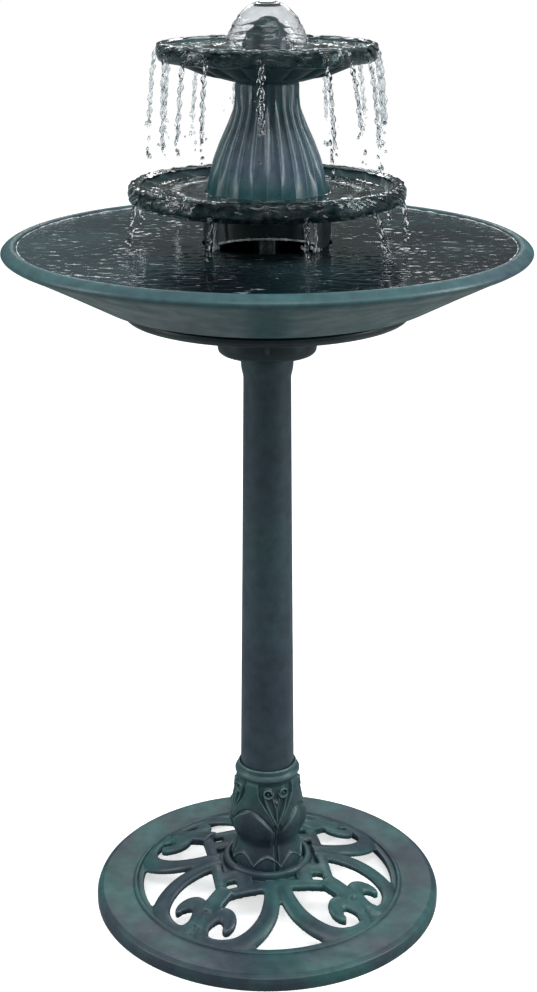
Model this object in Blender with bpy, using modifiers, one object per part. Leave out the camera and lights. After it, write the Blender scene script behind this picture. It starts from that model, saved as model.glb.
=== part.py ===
"""Three-tier pedestal garden fountain, built as it comes apart on a bench.

Metres, +Z up.  The origin is on the floor, at the centre of the base ring.
A pierced base carries an acanthus collar and a tapered column; the column
carries a wide basin.  A submersible pump stands in the basin under a
lift-off tower of two scalloped dishes and a fluted column, and pushes water
up a riser tube to the nozzle under the dome cap.
"""
import math

import bmesh
import bpy

# ---------------------------------------------------------------- driving sizes
GAP = 0.0003                 # clearance that two touching pieces keep
MERGE = 0.00001              # merge distance of the turned shapes

BASE_RADIUS = 0.2095
RING_INNER = 0.1545          # inner edge of the base ring
DOME_TOP = 0.0555            # the pierced dome: top = DOME_TOP - DOME_FALL * r * r
DOME_FALL = 1.43
HEARTS = 4                   # pierced hearts round the base
FIRST_HEART = math.radians(-35.0)   # from the front (-Y), towards +X
HUB_PLATE_BOTTOM = 0.0400
HUB_PLATE_TOP = 0.0460

BOSS_BOTTOM = 0.6865         # flange under the basin
BOSS_PLATE_BOTTOM = 0.7240
BOSS_TOP = 0.7280
TRAY_BOTTOM = 0.7300
TRAY_TOP = 0.7330
BASIN_BOTTOM = TRAY_TOP + GAP
BASIN_FLOOR = 0.7373
BASIN_RADIUS = 0.2865
FLANGE_SCREW_RADIUS = 0.0430
HEAD_SCREW_RADIUS = 0.0180
FOOT_SCREW_RADIUS = 0.0200
GROMMET_Y = 0.0850

FOOT_TOP = 0.8415            # top of the tower foot
FOOT_ARCHES = 3              # one towards the front; the legs stand between them
ARCH_HALF = 0.0500           # half the width of an arch
ARCH_SPRING = 0.8090         # height where the arch starts to curve
ARCH_RISE = 0.0160
DISH_UNDER = FOOT_TOP + GAP
DISH_FLOOR = 0.8453
FLUTE_BOTTOM = DISH_FLOOR + GAP
FLUTE_TOP = 0.9790
TOWER_SCREW_RADIUS = 0.0608
UPPER_UNDER = FLUTE_TOP + GAP
UPPER_FLOOR = 0.9828
FLUTES = 20
SCALLOPS = 22

DOME_CENTRE = 0.9950         # the dome cap is a turned quarter ellipse
DOME_WIDE = 0.0300
DOME_HIGH = 0.0500
DOME_WALL = 0.0025
DOME_FOOT = 0.9848

PUMP_BOTTOM = 0.7446
PUMP_TOP = 0.7846
PUMP_HALF_WIDTH = 0.0210
PUMP_BACK = 0.0280
PUMP_SPLIT = -0.0100         # where the housing ends and the strainer begins
PUMP_FRONT = -0.0280
ROTOR_Z = 0.7660
SHAFT_RADIUS = 0.00145
SHAFT_BORE = 0.00160
DIAL_Z = 0.7520
CUP_PLACES = [(x, y) for x in (-0.0150, 0.0150) for y in (-0.0040, 0.0220)]

COLOURS = {
    "patina_resin": ((0.045, 0.110, 0.115), 0.42, 0.0),
    "pump_plastic": ((0.015, 0.016, 0.018), 0.38, 0.0),
    "soft_rubber": ((0.020, 0.020, 0.021), 0.75, 0.0),
    "clear_vinyl": ((0.620, 0.680, 0.690), 0.20, 0.0),
    "stainless": ((0.560, 0.570, 0.580), 0.28, 1.0),
    "magnet": ((0.090, 0.088, 0.085), 0.50, 0.3),
}


# ---------------------------------------------------------------- scene set-up
def start():
    """Empty the scene and make the two collections."""
    for old in list(bpy.data.objects):
        bpy.data.objects.remove(old, do_unlink=True)
    parts = bpy.data.collections.new("pedestal_fountain")
    cutters = bpy.data.collections.new("cutters")
    bpy.context.scene.collection.children.link(parts)
    bpy.context.scene.collection.children.link(cutters)
    return parts, cutters


PARTS, CUTTERS = start()


def make_materials():
    """One Principled material for each finish."""
    made = {}
    for name, (rgb, roughness, metallic) in COLOURS.items():
        material = bpy.data.materials.new(name)
        material.use_nodes = True
        shader = material.node_tree.nodes["Principled BSDF"]
        shader.inputs["Base Color"].default_value = (*rgb, 1.0)
        shader.inputs["Roughness"].default_value = roughness
        shader.inputs["Metallic"].default_value = metallic
        material.diffuse_color = (*rgb, 1.0)
        made[name] = material
    return made


FINISH = make_materials()


# ---------------------------------------------------------------- shape helpers
def add(name, mesh, finish=None):
    """Link a mesh as a part, or as a hidden cutter when it has no finish."""
    item = bpy.data.objects.new(name, mesh)
    if finish is None:
        CUTTERS.objects.link(item)
        item.hide_render = True
        item.display_type = "WIRE"
    else:
        PARTS.objects.link(item)
        mesh.materials.append(FINISH[finish])
    return item


def turned(name, profile, finish=None, segments=32, closed=True):
    """Turn a profile of (radius, height) about Z.

    The profile runs down its outer side, top to bottom.  A closed profile is
    a ring section; an open one starts and ends on the axis.
    """
    mesh = bpy.data.meshes.new(name)
    points = [(radius, 0.0, height) for radius, height in profile]
    edges = [(i, i + 1) for i in range(len(points) - 1)]
    if closed:
        edges.append((len(points) - 1, 0))
    mesh.from_pydata(points, edges, [])
    item = add(name, mesh, finish)
    screw = item.modifiers.new("turn", "SCREW")
    screw.axis = "Z"
    screw.angle = math.tau
    screw.steps = segments
    screw.render_steps = segments
    screw.use_merge_vertices = True
    screw.merge_threshold = MERGE
    screw.use_smooth_shade = True
    return item


def rod(name, radius, low, high, finish=None, segments=16, at=(0.0, 0.0)):
    """A plain cylinder along Z from low to high."""
    mesh = bpy.data.meshes.new(name)
    form = bmesh.new()
    bmesh.ops.create_cone(form, cap_ends=True, segments=segments, radius1=radius,
                          radius2=radius, depth=high - low)
    bmesh.ops.translate(form, vec=(0.0, 0.0, (low + high) / 2), verts=form.verts)
    form.to_mesh(mesh)
    form.free()
    item = add(name, mesh, finish)
    item.location = (at[0], at[1], 0.0)
    return item


def block(name, low, high, finish=None, bevel=0.0):
    """A box between two corners, with rounded edges if bevel is given."""
    mesh = bpy.data.meshes.new(name)
    form = bmesh.new()
    bmesh.ops.create_cube(form, size=1.0)
    size = [high[i] - low[i] for i in range(3)]
    middle = [(high[i] + low[i]) / 2 for i in range(3)]
    bmesh.ops.scale(form, vec=size, verts=form.verts)
    bmesh.ops.translate(form, vec=middle, verts=form.verts)
    form.to_mesh(mesh)
    form.free()
    item = add(name, mesh, finish)
    if bevel:
        edge = item.modifiers.new("round", "BEVEL")
        edge.width = bevel
        edge.segments = 2
    return item


def face_front(item, x, y, z):
    """Stand a piece made along Z on the pump axis: its +Z points to the front."""
    item.rotation_euler = (math.radians(90.0), 0.0, 0.0)
    item.location = (x, y, z)
    return item


def combine(item, other, operation):
    """Add a Boolean of another object to item."""
    step = item.modifiers.new(operation.lower(), "BOOLEAN")
    step.operation = operation
    step.solver = "EXACT"
    step.object = other


def cut(item, *cutters):
    for cutter in cutters:
        combine(item, cutter, "DIFFERENCE")


def join(item, *others):
    for other in others:
        combine(item, other, "UNION")


def around(count, radius, first=0.0):
    """Points evenly spaced on a circle."""
    for i in range(count):
        angle = first + math.tau * i / count
        yield radius * math.cos(angle), radius * math.sin(angle)


def baked(item, weld=False):
    """Turn an object's modifiers into plain mesh, with its place in the mesh."""
    bpy.context.view_layer.update()
    graph = bpy.context.evaluated_depsgraph_get()
    mesh = bpy.data.meshes.new_from_object(item.evaluated_get(graph))
    mesh.transform(item.matrix_world)
    if weld:
        form = bmesh.new()
        form.from_mesh(mesh)
        bmesh.ops.remove_doubles(form, verts=form.verts, dist=MERGE)
        bmesh.ops.dissolve_degenerate(form, edges=form.edges, dist=MERGE)
        bmesh.ops.dissolve_limit(form, angle_limit=math.radians(0.2), verts=form.verts,
                                 edges=form.edges)
        form.to_mesh(mesh)
        form.free()
    return mesh


def settle(item):
    """Replace an object's modifiers by their welded result."""
    mesh = baked(item, weld=True)
    item.modifiers.clear()
    item.data = mesh
    return item


def reshape(item, move):
    """Bake a turned piece and move each of its points by a rule."""
    mesh = baked(item)
    for vertex in mesh.vertices:
        radius = math.hypot(vertex.co.x, vertex.co.y)
        angle = math.atan2(vertex.co.y, vertex.co.x)
        radius, height = move(radius, angle, vertex.co.z)
        vertex.co = (radius * math.cos(angle), radius * math.sin(angle), height)
    item.modifiers.clear()
    item.data = mesh
    return item


def smooth(item):
    item.data.shade_smooth()
    item.data.set_sharp_from_angle(angle=math.radians(35.0))


def ramp(value, low, high):
    """0 below low, 1 above high, straight between."""
    return min(1.0, max(0.0, (value - low) / (high - low)))


# ---------------------------------------------------------------- base
def dome_height(u, v):
    return DOME_TOP - DOME_FALL * (u * u + v * v)


def strap_section():
    """D section of the scrollwork straps, one unit of half width."""
    curve = bpy.data.curves.new("strap_section", "CURVE")
    curve.dimensions = "2D"
    spline = curve.splines.new("POLY")
    outline = [(-0.75, 0.45), (0.75, 0.45), (1.0, -0.45), (-1.0, -0.45)]
    spline.points.add(len(outline) - 1)
    for point, (x, y) in zip(spline.points, outline):
        point.co = (x, y, 0.0, 1.0)
    spline.use_cyclic_u = True
    section = bpy.data.objects.new("strap_section", curve)
    CUTTERS.objects.link(section)
    section.hide_render = True
    section.display_type = "WIRE"
    return section


def strap(name, path, section, mirror=1.0, lift=0.0):
    """A strap of the base along (u, v, half width), laid on the dome.

    u runs outward along the heart's centre line and v across it.
    """
    curve = bpy.data.curves.new(name, "CURVE")
    curve.dimensions = "3D"
    curve.twist_mode = "Z_UP"
    curve.bevel_mode = "OBJECT"
    curve.bevel_object = section
    curve.use_fill_caps = True
    spline = curve.splines.new("POLY")
    spline.points.add(len(path) - 1)
    for point, (u, v, half_width) in zip(spline.points, path):
        point.co = (u, v * mirror, dome_height(u, v) - 0.45 * half_width + lift, 1.0)
        point.radius = half_width
    item = bpy.data.objects.new(name, curve)
    CUTTERS.objects.link(item)
    mesh = baked(item, weld=True)
    bpy.data.objects.remove(item, do_unlink=True)
    solid = add(name, mesh)
    return solid


# One half of a heart: the lobe sweeps out to the ring, turns back beside the
# centre line and ends in a curl.
LOBE = [(0.050, 0.044, 0.0100), (0.072, 0.050, 0.0100), (0.097, 0.062, 0.0115),
        (0.124, 0.065, 0.0120), (0.143, 0.056, 0.0115), (0.153, 0.040, 0.0105),
        (0.156, 0.022, 0.0095), (0.148, 0.010, 0.0095), (0.134, 0.009, 0.0095),
        (0.123, 0.012, 0.0090), (0.117, 0.022, 0.0095), (0.122, 0.033, 0.0085),
        (0.132, 0.038, 0.0050)]
LATTICE_EDGE = [(0.044, 0.047, 0.0063), (0.068, 0.023, 0.0063), (0.091, 0.0, 0.0063),
                (0.068, -0.023, 0.0063), (0.044, -0.047, 0.0063)]
LATTICE_CROSS = [(0.048, -0.008, 0.0058), (0.062, 0.006, 0.0058), (0.075, 0.019, 0.0058)]
CLASP = [(0.084, 0.0, 0.0105), (0.118, 0.0, 0.0110), (0.146, 0.0, 0.0105)]
JUNCTION = [(0.036, 0.036, 0.0110), (0.047, 0.047, 0.0110), (0.058, 0.058, 0.0110)]
PROUD = 0.0006               # clasps and junctions stand above the lobes, crossbars below
WOVEN = 0.0004               # where two mirrored straps cross, one passes under the other


def heart(section):
    """One quarter of the scrollwork, as a single mesh about its centre line."""
    pieces = [strap("clasp", CLASP, section, lift=PROUD)]
    pieces.append(strap("junction", JUNCTION, section, lift=PROUD))
    pieces.append(strap("lattice_edge", LATTICE_EDGE, section))
    for side, lift in ((1.0, 0.0), (-1.0, -WOVEN)):
        pieces.append(strap("lobe", LOBE, section, side, lift))
        pieces.append(strap("lattice_cross", LATTICE_CROSS, section, side, lift - PROUD))
    join(pieces[0], *pieces[1:])
    mesh = baked(pieces[0])
    for piece in pieces:
        bpy.data.objects.remove(piece, do_unlink=True)
    return mesh


def base_casting():
    ring = [(0.2020, 0.0180), (0.2075, 0.0150), (BASE_RADIUS, 0.0100),
            (BASE_RADIUS, 0.0), (0.2060, 0.0), (0.2040, 0.0140), (0.1590, 0.0140),
            (0.1590, 0.0060), (RING_INNER, 0.0060), (RING_INNER, 0.0185),
            (0.1610, 0.0205), (0.1680, 0.0180)]
    item = turned("base_casting", ring, "patina_resin", segments=40)
    hub = turned("hub", [(0.0480, 0.0520), (0.0515, 0.0515), (0.0529, 0.0495),
                         (0.0529, 0.0440), (0.0510, HUB_PLATE_BOTTOM),
                         (0.0080, HUB_PLATE_BOTTOM), (0.0080, HUB_PLATE_TOP),
                         (0.0455, HUB_PLATE_TOP), (0.0460, 0.0500)], segments=24)
    shape = heart(strap_section())
    join(item, hub)
    for i in range(HEARTS):
        quarter = add("heart", shape)
        quarter.rotation_euler = (0.0, 0.0, FIRST_HEART - math.pi / 2 + math.tau * i / HEARTS)
        join(item, quarter)
    for x, y in around(4, FOOT_SCREW_RADIUS, math.pi / 4):
        cut(item, rod("screw_hole", 0.0023, HUB_PLATE_BOTTOM - 0.002, HUB_PLATE_TOP + 0.002,
                      at=(x, y), segments=8))
    return settle(item)


# ---------------------------------------------------------------- column
def acanthus_collar():
    outside = [(0.0360, 0.1745), (0.0385, 0.1700), (0.0380, 0.1645), (0.0364, 0.1615),
               (0.0368, 0.1500), (0.0382, 0.1370), (0.0400, 0.1270), (0.0410, 0.1150),
               (0.0400, 0.1030), (0.0372, 0.0882), (0.0360, 0.0740), (0.0375, 0.0640),
               (0.0395, 0.0540), (0.0395, HUB_PLATE_TOP + GAP)]
    inside = [(0.0329, HUB_PLATE_TOP + GAP), (0.0329, 0.1745)]
    return turned("acanthus_collar", outside + inside, "patina_resin", segments=24)


def column_tube():
    foot = HUB_PLATE_TOP + GAP
    top = BOSS_PLATE_BOTTOM - GAP
    outside = [(0.0293, top), (0.0295, 0.6760), (0.0290, 0.6700), (0.0267, 0.6590),
               (0.0288, 0.4510), (0.0317, 0.1960), (0.0322, foot)]
    inside = [(0.0292, foot), (0.0287, 0.1960), (0.0258, 0.4510), (0.0237, 0.6590),
              (0.0255, 0.6760), (0.0263, top)]
    return turned("column_tube", outside + inside, "patina_resin", segments=24)


def screw(name, x, y, head_low, head_high, shank_to, head_radius, shank_radius):
    """Pan-head screw standing along Z; its shank goes up or down to shank_to."""
    if shank_to > head_high:
        outline = [(0.0, shank_to), (shank_radius, shank_to), (shank_radius, head_high),
                   (head_radius, head_high), (head_radius * 0.8, head_low), (0.0, head_low)]
    else:
        outline = [(0.0, head_high), (head_radius * 0.8, head_high), (head_radius, head_low),
                   (shank_radius, head_low), (shank_radius, shank_to), (0.0, shank_to)]
    item = turned(name, outline, "stainless", segments=8, closed=False)
    item.location = (x, y, 0.0)
    return item


def column_ends():
    """The plugs bonded in the two ends of the tube, and the screws into them."""
    foot = rod("column_foot_plug", 0.0288, HUB_PLATE_TOP + GAP, 0.0600, "pump_plastic", 20)
    for i, (x, y) in enumerate(around(4, FOOT_SCREW_RADIUS, math.pi / 4)):
        cut(foot, rod("pilot", 0.0021, 0.0400, 0.0580, at=(x, y), segments=8))
        screw(f"base_screw_{i + 1}", x, y, 0.0373, HUB_PLATE_BOTTOM - GAP, 0.0560, 0.0040, 0.0018)
    head = rod("column_head_plug", 0.0255, 0.7120, BOSS_PLATE_BOTTOM - GAP, "pump_plastic", 20)
    for i, (x, y) in enumerate(around(4, HEAD_SCREW_RADIUS, math.pi / 4)):
        cut(head, rod("pilot", 0.0020, 0.7140, 0.7300, at=(x, y), segments=8))
        screw(f"head_screw_{i + 1}", x, y, BOSS_TOP + GAP, 0.7307, 0.7160, 0.0035, 0.0017)


# ---------------------------------------------------------------- basin
def basin_flange():
    """Cup-shaped flange that takes the column's top end and carries the basin."""
    section = [(0.0553, BOSS_TOP), (0.0553, 0.6915), (0.0540, 0.6880), (0.0515, BOSS_BOTTOM),
               (0.0505, 0.6880), (0.0512, BOSS_PLATE_BOTTOM), (0.0340, BOSS_PLATE_BOTTOM),
               (0.0340, 0.6950), (0.0300, 0.6950), (0.0300, BOSS_PLATE_BOTTOM),
               (0.0100, BOSS_PLATE_BOTTOM), (0.0100, BOSS_TOP)]
    item = turned("basin_flange", section, "patina_resin", segments=32)
    for i in range(4):
        rib = block("rib", (0.0530, -0.0014, 0.6980), (0.0590, 0.0014, 0.7275))
        rib.rotation_euler = (0.0, 0.0, math.pi / 2 * i)
        join(item, rib)
    for x, y in around(4, FLANGE_SCREW_RADIUS, math.pi / 4):
        cut(item, rod("screw_hole", 0.0026, 0.7200, 0.7300, at=(x, y), segments=8))
    for x, y in around(4, HEAD_SCREW_RADIUS, math.pi / 4):
        cut(item, rod("screw_hole", 0.0022, 0.7200, 0.7300, at=(x, y), segments=8))
    return item


def flange_gasket():
    low = BOSS_TOP + GAP
    high = TRAY_BOTTOM - GAP
    item = turned("flange_gasket", [(0.0520, high), (0.0520, low), (0.0300, low), (0.0300, high)],
                  "soft_rubber", segments=24)
    for x, y in around(4, FLANGE_SCREW_RADIUS, math.pi / 4):
        cut(item, rod("screw_hole", 0.0026, 0.7200, 0.7400, at=(x, y), segments=8))
    return item


def basin_tray():
    """Shallow tray that stiffens the basin's floor and shows as its foot ring."""
    section = [(0.1590, 0.7392), (0.1590, 0.7345), (0.1550, TRAY_BOTTOM), (0.0285, TRAY_BOTTOM),
               (0.0285, TRAY_TOP), (0.1512, TRAY_TOP), (0.1568, 0.7392)]
    item = turned("basin_tray", section, "patina_resin", segments=40)
    for x, y in around(4, FLANGE_SCREW_RADIUS, math.pi / 4):
        cut(item, rod("screw_hole", 0.0026, 0.7200, 0.7400, at=(x, y), segments=8))
    cut(item, rod("cable_hole", 0.0094, 0.7200, 0.7400, at=(0.0, GROMMET_Y)))
    return item


def basin_bowl():
    section = [(0.0, BASIN_FLOOR), (0.1470, BASIN_FLOOR), (0.1530, 0.7440), (0.1815, 0.7513),
               (0.2660, 0.7960), (0.2690, 0.8070), (0.2730, 0.8125), (0.2855, 0.8060),
               (BASIN_RADIUS, 0.8035), (0.2840, 0.8000), (0.2700, 0.7935), (0.1830, 0.7470),
               (0.1560, 0.7400), (0.1505, BASIN_BOTTOM), (0.0, BASIN_BOTTOM)]
    item = turned("basin_bowl", section, "patina_resin", segments=48, closed=False)
    for i, (x, y) in enumerate(around(4, FLANGE_SCREW_RADIUS, math.pi / 4)):
        join(item, rod("blind_boss", 0.0070, 0.7350, 0.7480, at=(x, y), segments=10))
        cut(item, rod("pilot", 0.0023, 0.7300, 0.7450, at=(x, y), segments=8))
        screw(f"flange_screw_{i + 1}", x, y, 0.7213, BOSS_PLATE_BOTTOM - GAP, 0.7440, 0.0042, 0.0020)
    cut(item, rod("cable_hole", 0.0090, 0.7300, 0.7400, at=(0.0, GROMMET_Y)))
    return item


def cable_grommet():
    top = BASIN_FLOOR + 0.0026
    section = [(0.0110, top), (0.0120, BASIN_FLOOR + 0.0012), (0.0120, BASIN_FLOOR + GAP),
               (0.0087, BASIN_FLOOR + GAP), (0.0087, 0.7280), (0.0035, 0.7280), (0.0035, top)]
    item = turned("cable_grommet", section, "soft_rubber", segments=16)
    item.location = (0.0, GROMMET_Y, 0.0)
    return item


# ---------------------------------------------------------------- pump
def pump_housing():
    item = block("pump_housing", (-PUMP_HALF_WIDTH, PUMP_SPLIT, PUMP_BOTTOM),
                 (PUMP_HALF_WIDTH, PUMP_BACK, PUMP_TOP), "pump_plastic", bevel=0.0025)
    join(item, rod("outlet", 0.0066, PUMP_TOP - 0.004, 0.8000, segments=20))
    chamber = face_front(rod("chamber", 0.0135, -0.0040, 0.0110, segments=24), 0, 0, ROTOR_Z)
    tunnel = face_front(rod("tunnel", 0.0080, -0.0250, 0.0, segments=24), 0, 0, ROTOR_Z)
    bore = rod("outlet_bore", 0.0042, 0.7720, 0.8100)
    cut(item, chamber, tunnel, bore)
    for x, y in CUP_PLACES:
        cut(item, rod("socket", 0.0022, PUMP_BOTTOM - 0.001, 0.7490, at=(x, y), segments=8))
    return item


def suction_cups():
    outline = [(0.0, 0.7480), (0.0019, 0.7480), (0.0019, 0.7436), (0.0035, 0.7430),
               (0.0068, 0.7382), (0.0070, BASIN_FLOOR + GAP), (0.0060, BASIN_FLOOR + GAP),
               (0.0030, 0.7405), (0.0, 0.7410)]
    for i, (x, y) in enumerate(CUP_PLACES):
        item = turned(f"suction_cup_{i + 1}", outline, "soft_rubber", segments=12, closed=False)
        item.location = (x, y, 0.0)


def impeller():
    """Magnet rotor with a six-bladed wheel, bored to run on the fixed shaft."""
    item = face_front(rod("impeller", 0.0068, -0.0215, -0.0010, "magnet", 20), 0, 0, ROTOR_Z)
    wheel = face_front(rod("wheel", 0.0100, -0.0030, -0.0008, segments=20), 0, 0, ROTOR_Z)
    hub = face_front(rod("hub", 0.0040, -0.0012, 0.0080, segments=16), 0, 0, ROTOR_Z)
    join(item, wheel, hub)
    for i in range(6):
        blade = block("blade", (0.0030, -0.0006, -0.0012), (0.0118, 0.0006, 0.0075))
        blade.location = (0.0, 0.0, ROTOR_Z)
        blade.rotation_euler = (math.radians(90.0), math.tau * i / 6, 0.0)
        join(item, blade)
    cut(item, face_front(rod("bore", SHAFT_BORE, -0.0300, 0.0200), 0, 0, ROTOR_Z))
    return item


def pump_inside():
    shaft = rod("impeller_shaft", SHAFT_RADIUS, -0.0243, 0.0128, "stainless")
    face_front(shaft, 0, 0, ROTOR_Z)
    for name, low, high, radius in (("rear_bush", -0.0247, -0.0222, 0.0076),
                                    ("front_bush", 0.0103, 0.0130, 0.0036)):
        bush = turned(name, [(radius, high), (radius, low), (SHAFT_BORE, low), (SHAFT_BORE, high)],
                      "soft_rubber", segments=16)
        face_front(bush, 0, 0, ROTOR_Z)
    cover = turned("impeller_cover", [(0.0160, 0.0133), (0.0160, 0.0103), (0.0040, 0.0103),
                                      (0.0040, 0.0133)], "pump_plastic", segments=24)
    face_front(cover, 0, 0, ROTOR_Z)
    for x, z in around(4, 0.0088):
        hole = face_front(rod("inlet", 0.0030, -0.0200, 0.0200, segments=12), x, 0, ROTOR_Z + z)
        cut(cover, hole)


def pump_cover():
    """Strainer box that slides off the front of the housing."""
    width = PUMP_HALF_WIDTH
    wall = 0.0018
    back = PUMP_SPLIT - GAP
    item = block("pump_cover", (-width, PUMP_FRONT, PUMP_BOTTOM), (width, back, PUMP_TOP),
                 "pump_plastic", bevel=0.0020)
    cut(item, block("room", (wall - width, PUMP_FRONT + wall, PUMP_BOTTOM + wall),
                    (width - wall, 0.0, PUMP_TOP - wall)))
    for i in range(5):
        x = (i - 2) * 0.0066
        cut(item, block("slot", (x - 0.0011, -0.0400, 0.7600), (x + 0.0011, -0.0200, 0.7800)))
    hole = face_front(rod("dial_hole", 0.0025, 0.0200, 0.0400), 0, 0, DIAL_Z)
    cut(item, hole)
    return item


def flow_dial():
    """Flow regulator: a pointer knob whose stem turns in the strainer."""
    face = -PUMP_FRONT + GAP
    item = face_front(rod("flow_dial", 0.0060, face, face + 0.0030, "pump_plastic", 20), 0, 0, DIAL_Z)
    stem = face_front(rod("stem", 0.0021, 0.0240, face + 0.0010), 0, 0, DIAL_Z)
    pointer = block("pointer", (-0.0009, -face - 0.0042, DIAL_Z - 0.0010),
                    (0.0009, -face - 0.0025, DIAL_Z + 0.0050))
    join(item, stem, pointer)
    return item


def pump_gland():
    """Strain-relief gland at the back of the pump, where its lead goes in."""
    start = PUMP_BACK + GAP
    section = [(0.0050, -start), (0.0050, -start - 0.0040), (0.0040, -start - 0.0080),
               (0.0028, -start - 0.0080), (0.0028, -start)]
    item = turned("pump_gland", section, "soft_rubber", segments=16)
    return face_front(item, 0.0120, 0, 0.7530)


# ---------------------------------------------------------------- tower
def scallop(depth, start, end, count=SCALLOPS):
    """Rule that lobes a dish's rim, growing from radius start to end."""
    def move(radius, angle, height):
        wave = depth * ramp(radius, start, end) * math.cos(count * angle)
        return radius + wave, height + 0.4 * wave
    return move


def arch_opening():
    """Prism that cuts one wide flat arch out of the foot, on the -Y side of the axis."""
    outline = [(-ARCH_HALF, BASIN_BOTTOM), (ARCH_HALF, BASIN_BOTTOM)]
    for i in range(9):
        angle = math.pi * i / 8
        outline.append((ARCH_HALF * math.cos(angle), ARCH_SPRING + ARCH_RISE * math.sin(angle)))
    mesh = bpy.data.meshes.new("arch")
    work = bmesh.new()
    near = [work.verts.new((x, 0.0, z)) for x, z in outline]
    face = work.faces.new(near)
    deep = bmesh.ops.extrude_face_region(work, geom=[face])
    moved = [part for part in deep["geom"] if isinstance(part, bmesh.types.BMVert)]
    bmesh.ops.translate(work, verts=moved, vec=(0.0, -2 * ARCH_HALF, 0.0))
    bmesh.ops.recalc_face_normals(work, faces=work.faces)
    work.to_mesh(mesh)
    work.free()
    return add("arch", mesh)


def tower_foot():
    """Hollow foot of the tower, on three legs with wide arches that let water to the pump."""
    low = BASIN_FLOOR + GAP
    section = [(0.0690, FOOT_TOP), (0.0720, low), (0.0690, low), (0.0660, 0.8385),
               (0.0560, 0.8385), (0.0560, FOOT_TOP)]
    item = turned("tower_foot", section, "patina_resin", segments=36)
    for i in range(FOOT_ARCHES):
        arch = arch_opening()
        arch.rotation_euler = (0.0, 0.0, math.tau * i / FOOT_ARCHES)
        cut(item, arch)
    for x, y in around(3, TOWER_SCREW_RADIUS, math.pi / 2):
        cut(item, rod("screw_hole", 0.0020, 0.8300, 0.8500, at=(x, y), segments=8))
    return item


def lower_dish():
    section = [(0.1390, 0.8720), (0.1455, 0.8660), (0.1440, 0.8550), (0.1340, 0.8562),
               (0.0900, 0.8440), (0.0720, DISH_UNDER), (0.0450, DISH_UNDER),
               (0.0450, DISH_FLOOR), (0.0720, DISH_FLOOR), (0.1200, 0.8580)]
    item = turned("lower_dish", section, segments=SCALLOPS * 2, finish="patina_resin")
    reshape(item, scallop(0.0016, 0.100, 0.140))
    for x, y in around(3, TOWER_SCREW_RADIUS, math.pi / 2):
        cut(item, rod("screw_hole", 0.0020, 0.8300, 0.8500, at=(x, y), segments=8))
    return item


def fluted_column():
    outside = [(0.0338, FLUTE_TOP), (0.0343, 0.9560), (0.0421, 0.9347), (0.0509, 0.9155),
               (0.0582, 0.8967), (0.0638, 0.8735), (0.0664, 0.8575), (0.0675, FLUTE_BOTTOM)]
    inside = [(0.0560, FLUTE_BOTTOM), (0.0560, 0.8516), (0.0620, 0.8575), (0.0600, 0.8735),
              (0.0470, 0.9155), (0.0305, 0.9560), (0.0303, 0.9755), (0.0100, 0.9755),
              (0.0100, FLUTE_TOP)]
    item = turned("fluted_column", outside + inside, "patina_resin", segments=FLUTES * 2)

    def move(radius, angle, height):
        depth = 0.0020 * ramp(height, 0.858, 0.870) * ramp(height, 0.9600, 0.9350)
        if radius < 0.0200:
            depth = 0.0
        return radius - depth * (0.5 - 0.5 * math.cos(FLUTES * angle)), height

    reshape(item, move)
    for i, (x, y) in enumerate(around(3, TOWER_SCREW_RADIUS, math.pi / 2)):
        cut(item, rod("pilot", 0.0018, 0.8400, 0.8505, at=(x, y), segments=8))
        screw(f"tower_screw_{i + 1}", x, y, 0.8360, 0.8382, 0.8495, 0.0032, 0.0015)
    return item


def riser_tube():
    section = [(0.0088, 0.9780), (0.0088, PUMP_TOP + 0.0014), (0.0069, PUMP_TOP + 0.0014),
               (0.0069, 0.9780)]
    return turned("riser_tube", section, "clear_vinyl", segments=20)


# ---------------------------------------------------------------- upper tier
def upper_dish():
    section = [(0.1070, 1.0165), (0.1130, 1.0110), (0.1115, 1.0000), (0.1070, 1.0025),
               (0.0700, 0.9880), (0.0400, UPPER_UNDER), (0.0072, UPPER_UNDER),
               (0.0072, UPPER_FLOOR), (0.0380, UPPER_FLOOR), (0.0680, 0.9912), (0.0950, 1.0030)]
    item = turned("upper_dish", section, segments=SCALLOPS * 2, finish="patina_resin")
    return reshape(item, scallop(0.0014, 0.080, 0.106))


def nozzle():
    seat = UPPER_FLOOR + GAP + 0.0012 + GAP
    section = [(0.0036, 1.0420), (0.0045, 1.0400), (0.0045, seat + 0.0025), (0.0120, seat + 0.0025),
               (0.0120, seat), (0.0066, seat), (0.0066, 0.9660), (0.0058, 0.9640),
               (0.0025, 0.9640), (0.0025, 1.0420)]
    item = turned("nozzle", section, "pump_plastic", segments=20)
    low = UPPER_FLOOR + GAP
    turned("nozzle_seal", [(0.0112, low + 0.0012), (0.0112, low), (0.0076, low),
                           (0.0076, low + 0.0012)], "soft_rubber", segments=20)
    return item


def dome_cap():
    """Quarter-ellipse cap that pulls off upwards; the nozzle ends in its top hole."""
    outside = []
    inside = []
    for i in range(6):
        angle = math.radians(82.0) * (5 - i) / 5
        outside.append((DOME_WIDE * math.cos(angle), DOME_CENTRE + DOME_HIGH * math.sin(angle)))
    for i in range(6):
        angle = math.radians(81.5) * i / 5
        inside.append(((DOME_WIDE - DOME_WALL) * math.cos(angle),
                       DOME_CENTRE + (DOME_HIGH - DOME_WALL) * math.sin(angle)))
    foot = [(DOME_WIDE, DOME_FOOT), (DOME_WIDE - DOME_WALL, DOME_FOOT)]
    return turned("dome_cap", outside + foot + inside, "patina_resin", segments=32)


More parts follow.
